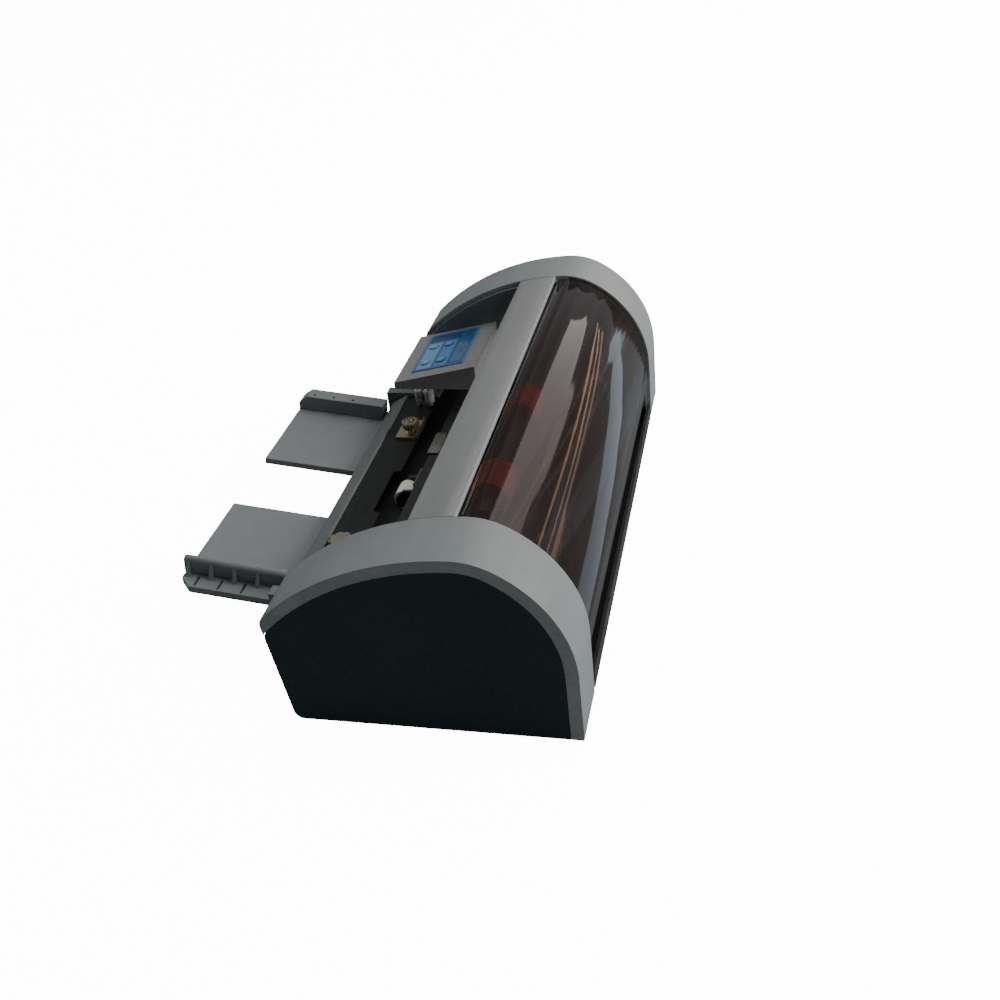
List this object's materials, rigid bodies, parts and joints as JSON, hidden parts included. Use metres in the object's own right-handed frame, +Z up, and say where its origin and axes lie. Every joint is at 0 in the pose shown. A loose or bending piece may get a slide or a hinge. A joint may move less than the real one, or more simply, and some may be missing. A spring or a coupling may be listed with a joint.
{
  "type": "business card cutter",
  "caption": "Desk-top electric card cutter: feed guides, rotary slitting discs, a cross knife, a key panel and a hinged smoked cover between two arched end caps.",
  "frame": {"origin": "middle of the footprint, guides included, on the desk", "axes": "+X along the shafts to the operator's right, +Y the way the sheet travels from the feed side to the delivery side, +Z up"},
  "size_m": [0.4, 0.2764, 0.1234],
  "materials": {
    "grey_shell": "fine textured grey moulding",
    "navy_panel": "dark navy textured panel",
    "black_metal": "black powder coat",
    "steel": "ground steel",
    "brass": "turned brass",
    "rubber": "black rubber",
    "red_rubber": "red polyurethane",
    "cream_plastic": "cream moulding",
    "smoked_sheet": "smoked brown transparent sheet",
    "blue_overlay": "printed polyester overlay",
    "lcd_window": "display window",
    "key_plastic": "key cap",
    "board": "circuit board lacquer",
    "dark_plastic": "dark moulding",
    "bright_trim": "pale trim",
    "beige_plastic": "dull beige moulding",
    "red_switch": "red rocker",
    "chrome_plate": "nickel plate",
    "stained_steel": "plated steel clip"
  },
  "bodies": {
    "frame": {"base_tray": "grey_shell", "rubber_feet": "rubber", "left_side_frame": "black_metal", "right_side_frame": "black_metal", "left_end_cap": "grey_shell", "right_end_cap": "grey_shell", "left_side_panel": "navy_panel", "right_side_panel": "navy_panel", "top_crossbar": "grey_shell", "crossbar_trim": "bright_trim", "tie_bars": "steel", "cover_hinge_pins": "steel", "panel_housing": "grey_shell", "key_overlay": "blue_overlay", "display_window": "lcd_window", "circuit_boards": "board", "deck_plate": "black_metal", "guide_plate": "black_metal", "front_lip": "grey_shell", "deck_end_blocks": "dark_plastic", "guide_rail": "steel", "brass_clamp": "brass", "fasteners": "chrome_plate", "pinch_bar": "black_metal", "stop_clip": "stained_steel", "idler_bracket": "dark_plastic", "shaft_bushes": "brass", "drive_motor": "black_metal", "drive_belt": "rubber", "knife_bed": "steel", "lower_blade": "steel", "knife_springs": "steel", "knife_motor": "black_metal", "power_supply": "steel", "inlet_and_switch_frame": "dark_plastic"},
    "cover": {"smoked_cover": "smoked_sheet"},
    "up_key": {"up_key": "key_plastic"},
    "down_key": {"down_key": "key_plastic"},
    "start_key": {"start_key": "key_plastic"},
    "stop_key": {"stop_key": "key_plastic"},
    "left_guide": {"left_sheet_guide": "grey_shell"},
    "right_guide": {"right_sheet_guide": "grey_shell"},
    "clamp_screw": {"brass_thumbscrew": "brass"},
    "plate_screw": {"plate_knob": "beige_plastic"},
    "idler": {"idler_roller": "cream_plastic"},
    "lower_feed": {"lower_feed_shaft": "steel", "lower_feed_rollers": "rubber"},
    "upper_feed": {"upper_feed_shaft": "steel", "upper_feed_rollers": "red_rubber"},
    "lower_slitter": {"lower_slitter_shaft": "steel", "lower_slitter_discs": "steel"},
    "upper_slitter": {"upper_slitter_shaft": "steel", "upper_slitter_discs": "steel"},
    "lower_exit": {"lower_exit_shaft": "rubber"},
    "upper_exit": {"upper_exit_shaft": "rubber"},
    "motor_rotor": {"motor_pulley": "steel"},
    "knife": {"knife_beam": "steel", "upper_blade": "steel"},
    "camshaft": {"knife_camshaft": "steel"},
    "rocker": {"power_switch": "red_switch"}
  },
  "joints": [
    {"name": "cover_hinge", "type": "hinge", "parent": "frame", "child": "cover", "pos_m": [0, 0.07375, 0.11915], "axis": [1, 0, 0], "range_deg": [0, 100]},
    {"name": "up_key_press", "type": "slide", "parent": "frame", "child": "up_key", "axis": [0, -0.2113, 0.9774], "range_m": [-0.0005, 0], "stiffness_N_per_m": 400},
    {"name": "down_key_press", "type": "slide", "parent": "frame", "child": "down_key", "axis": [0, -0.2113, 0.9774], "range_m": [-0.0005, 0], "stiffness_N_per_m": 400},
    {"name": "start_key_press", "type": "slide", "parent": "frame", "child": "start_key", "axis": [0, -0.2113, 0.9774], "range_m": [-0.0005, 0], "stiffness_N_per_m": 400},
    {"name": "stop_key_press", "type": "slide", "parent": "frame", "child": "stop_key", "axis": [0, -0.2113, 0.9774], "range_m": [-0.0005, 0], "stiffness_N_per_m": 400},
    {"name": "left_guide_slide", "type": "slide", "parent": "frame", "child": "left_guide", "axis": [1, 0, 0], "range_m": [0, 0.025]},
    {"name": "right_guide_slide", "type": "slide", "parent": "frame", "child": "right_guide", "axis": [-1, 0, 0], "range_m": [0, 0.025]},
    {"name": "clamp_screw_turn", "type": "hinge", "parent": "frame", "child": "clamp_screw", "pos_m": [-0.066, -0.03125, 0.04], "axis": [0, 0, 1], "range_deg": [0, 360]},
    {"name": "plate_screw_turn", "type": "hinge", "parent": "frame", "child": "plate_screw", "pos_m": [0.076, -0.04025, 0.04], "axis": [0, 0, 1], "range_deg": [0, 360]},
    {"name": "idler_spin", "type": "hinge", "parent": "frame", "child": "idler", "pos_m": [0.01, -0.01425, 0.034], "axis": [1, 0, 0], "continuous": true},
    {"name": "lower_feed_spin", "type": "hinge", "parent": "frame", "child": "lower_feed", "pos_m": [0, 0.04875, 0.01685], "axis": [1, 0, 0], "continuous": true},
    {"name": "upper_feed_spin", "type": "hinge", "parent": "frame", "child": "upper_feed", "pos_m": [0, 0.04875, 0.04115], "axis": [1, 0, 0], "continuous": true},
    {"name": "lower_slitter_spin", "type": "hinge", "parent": "frame", "child": "lower_slitter", "pos_m": [0, 0.08075, 0.017], "axis": [1, 0, 0], "continuous": true},
    {"name": "upper_slitter_spin", "type": "hinge", "parent": "frame", "child": "upper_slitter", "pos_m": [0, 0.08075, 0.04], "axis": [1, 0, 0], "continuous": true},
    {"name": "lower_exit_spin", "type": "hinge", "parent": "frame", "child": "lower_exit", "pos_m": [0, 0.12075, 0.01885], "axis": [1, 0, 0], "continuous": true},
    {"name": "upper_exit_spin", "type": "hinge", "parent": "frame", "child": "upper_exit", "pos_m": [0, 0.12075, 0.03515], "axis": [1, 0, 0], "continuous": true},
    {"name": "motor_spin", "type": "hinge", "parent": "frame", "child": "motor_rotor", "pos_m": [0.16, 0.07675, 0.084], "axis": [1, 0, 0], "continuous": true},
    {"name": "camshaft_turn", "type": "hinge", "parent": "frame", "child": "camshaft", "pos_m": [0, 0.10395, 0.05695], "axis": [1, 0, 0], "range_deg": [0, 180]},
    {"name": "knife_stroke", "type": "slide", "parent": "frame", "child": "knife", "axis": [0, 0, 1], "range_m": [-0.006, 0], "stiffness_N_per_m": 1500, "springref_m": 0.004, "deforming": ["knife_springs"]},
    {"name": "power_rocker", "type": "hinge", "parent": "frame", "child": "rocker", "pos_m": [-0.195, 0.06675, 0.021], "axis": [0, 1, 0], "range_deg": [-24, 0]}
  ],
  "couplings": [
    {"joint": "upper_feed_spin", "follows": "lower_feed_spin", "ratio": -1},
    {"joint": "lower_slitter_spin", "follows": "lower_feed_spin", "ratio": 1},
    {"joint": "upper_slitter_spin", "follows": "lower_feed_spin", "ratio": -1},
    {"joint": "lower_exit_spin", "follows": "lower_feed_spin", "ratio": 1.25},
    {"joint": "upper_exit_spin", "follows": "lower_feed_spin", "ratio": -1.25},
    {"joint": "motor_spin", "follows": "lower_feed_spin", "ratio": 1.8333},
    {"joint": "camshaft_turn", "follows": "knife_stroke", "rad_per_m": -523}
  ]
}
